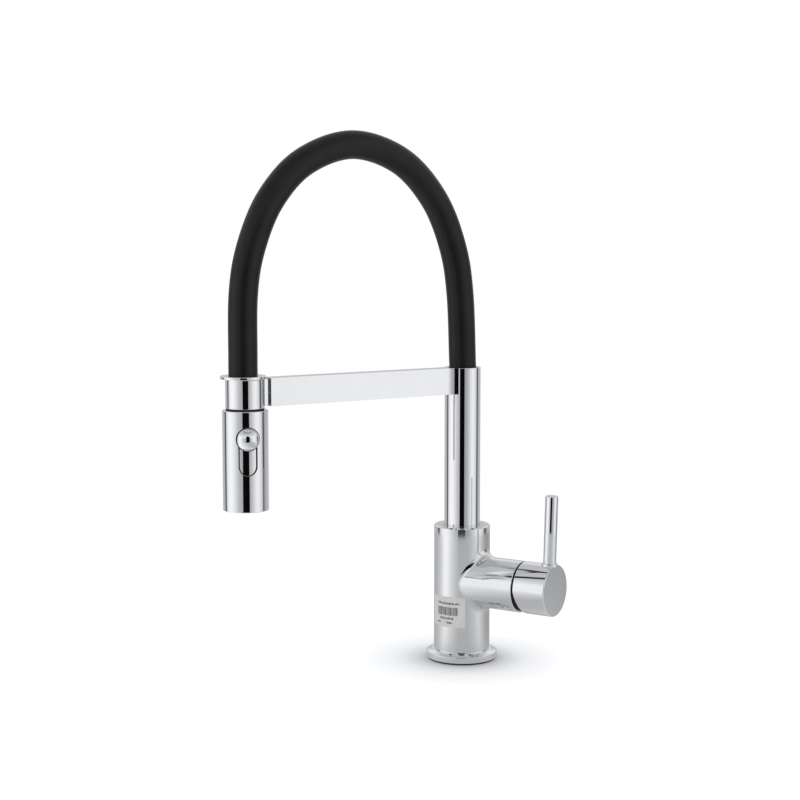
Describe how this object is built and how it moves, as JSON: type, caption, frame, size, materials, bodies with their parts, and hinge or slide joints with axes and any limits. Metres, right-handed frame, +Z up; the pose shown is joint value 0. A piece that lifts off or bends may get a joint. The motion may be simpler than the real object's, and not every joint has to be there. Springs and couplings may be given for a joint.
{
  "type": "pull down kitchen faucet",
  "caption": "Single-lever kitchen mixer: round column with a flat docking arm, arched black hose and a pull-down spray head with a sliding diverter knob.",
  "frame": {"origin": "centre of the base on the deck plane, on the body's vertical axis", "axes": "+Z up, +X out along the lever's branch; the spout is at rest swung 24.4 degrees clockwise from -Y, seen from above"},
  "size_m": [0.1801, 0.2208, 0.41],
  "materials": {
    "chrome": "polished chrome plate",
    "sheath_rubber": "satin black silicone rubber",
    "seal_rubber": "matte black rubber",
    "hose_braid": "braided nylon",
    "brass": "machined",
    "steel": "machined stainless",
    "white_plastic": "moulded acetal",
    "grey_plastic": "moulded, satin",
    "ceramic": "lapped alumina",
    "paper": "coated label paper"
  },
  "bodies": {
    "mixer_body": {"base_gasket": "seal_rubber", "base_flange": "chrome", "faucet_body": "chrome", "paper_label": "paper", "swivel_bush_lower": "white_plastic", "swivel_bush_upper": "white_plastic", "spout_retaining_screw": "steel", "cartridge_base": "white_plastic", "port_seal_hot": "seal_rubber", "port_seal_cold": "seal_rubber", "port_seal_mixed": "seal_rubber", "fixed_ceramic_disc": "ceramic", "cartridge_housing": "white_plastic", "cartridge_nut": "brass", "glide_ring": "seal_rubber"},
    "spout": {"riser_tube": "chrome", "swivel_spigot": "brass", "spigot_o_ring_lower": "seal_rubber", "spigot_o_ring_upper": "seal_rubber", "hose_nut": "brass", "hose_ferrule_lower": "steel", "inner_hose": "hose_braid", "hose_sheath": "sheath_rubber", "sheath_guide_bush": "seal_rubber", "docking_arm": "chrome", "dock_holder": "chrome", "dock_magnet": "steel"},
    "hose_end": {"sheath_end_cap": "chrome", "docking_neck": "chrome", "hose_ferrule_upper": "steel", "hose_coupling": "brass", "coupling_clip": "white_plastic", "coupling_o_ring": "seal_rubber", "check_valve": "white_plastic"},
    "spray_head": {"head_shell": "chrome", "head_inner_body": "white_plastic", "spray_face": "grey_plastic", "aerator_housing": "grey_plastic", "aerator_screen": "steel"},
    "diverter": {"diverter_knob": "chrome", "diverter_shutter": "chrome", "diverter_spool": "white_plastic", "spool_o_ring": "seal_rubber"},
    "lever_carrier": {"cartridge_rotor": "white_plastic", "stem_pivot_pin": "steel"},
    "mixing_disc": {"moving_ceramic_disc": "ceramic", "disc_carrier": "white_plastic"},
    "lever": {"cartridge_stem": "steel", "handle_cap": "chrome", "handle_set_screw": "steel", "lever_rod": "chrome", "lever_rod_seat": "chrome"}
  },
  "joints": [
    {"name": "spout_swivel", "type": "hinge", "parent": "mixer_body", "child": "spout", "pos_m": [0, 0, 0.1], "axis": [0, 0, 1], "continuous": true},
    {"name": "head_pull_out", "type": "slide", "parent": "spout", "child": "hose_end", "axis": [-0.4131, -0.9107, 0], "range_m": [0, 0.08], "deforming": ["hose_sheath", "inner_hose"]},
    {"name": "head_turn", "type": "hinge", "parent": "hose_end", "child": "spray_head", "pos_m": [-0.07899, -0.17412, 0.2], "axis": [0, 0, 1], "continuous": true},
    {"name": "diverter_slide", "type": "slide", "parent": "spray_head", "child": "diverter", "axis": [0, 0, -1], "range_m": [0, 0.018]},
    {"name": "lever_temperature", "type": "hinge", "parent": "mixer_body", "child": "lever_carrier", "pos_m": [0.0437, 0, 0.063], "axis": [1, 0, 0], "range_deg": [-45, 45]},
    {"name": "lever_flow", "type": "hinge", "parent": "lever_carrier", "child": "lever", "pos_m": [0.0437, 0, 0.063], "axis": [0, 1, 0], "range_deg": [0, 13]},
    {"name": "mixing_disc_slide", "type": "slide", "parent": "lever_carrier", "child": "mixing_disc", "axis": [0, 0, 1], "range_m": [0, 0.0019]}
  ],
  "couplings": [
    {"joint": "mixing_disc_slide", "follows": "lever_flow", "m_per_rad": 0.008}
  ]
}
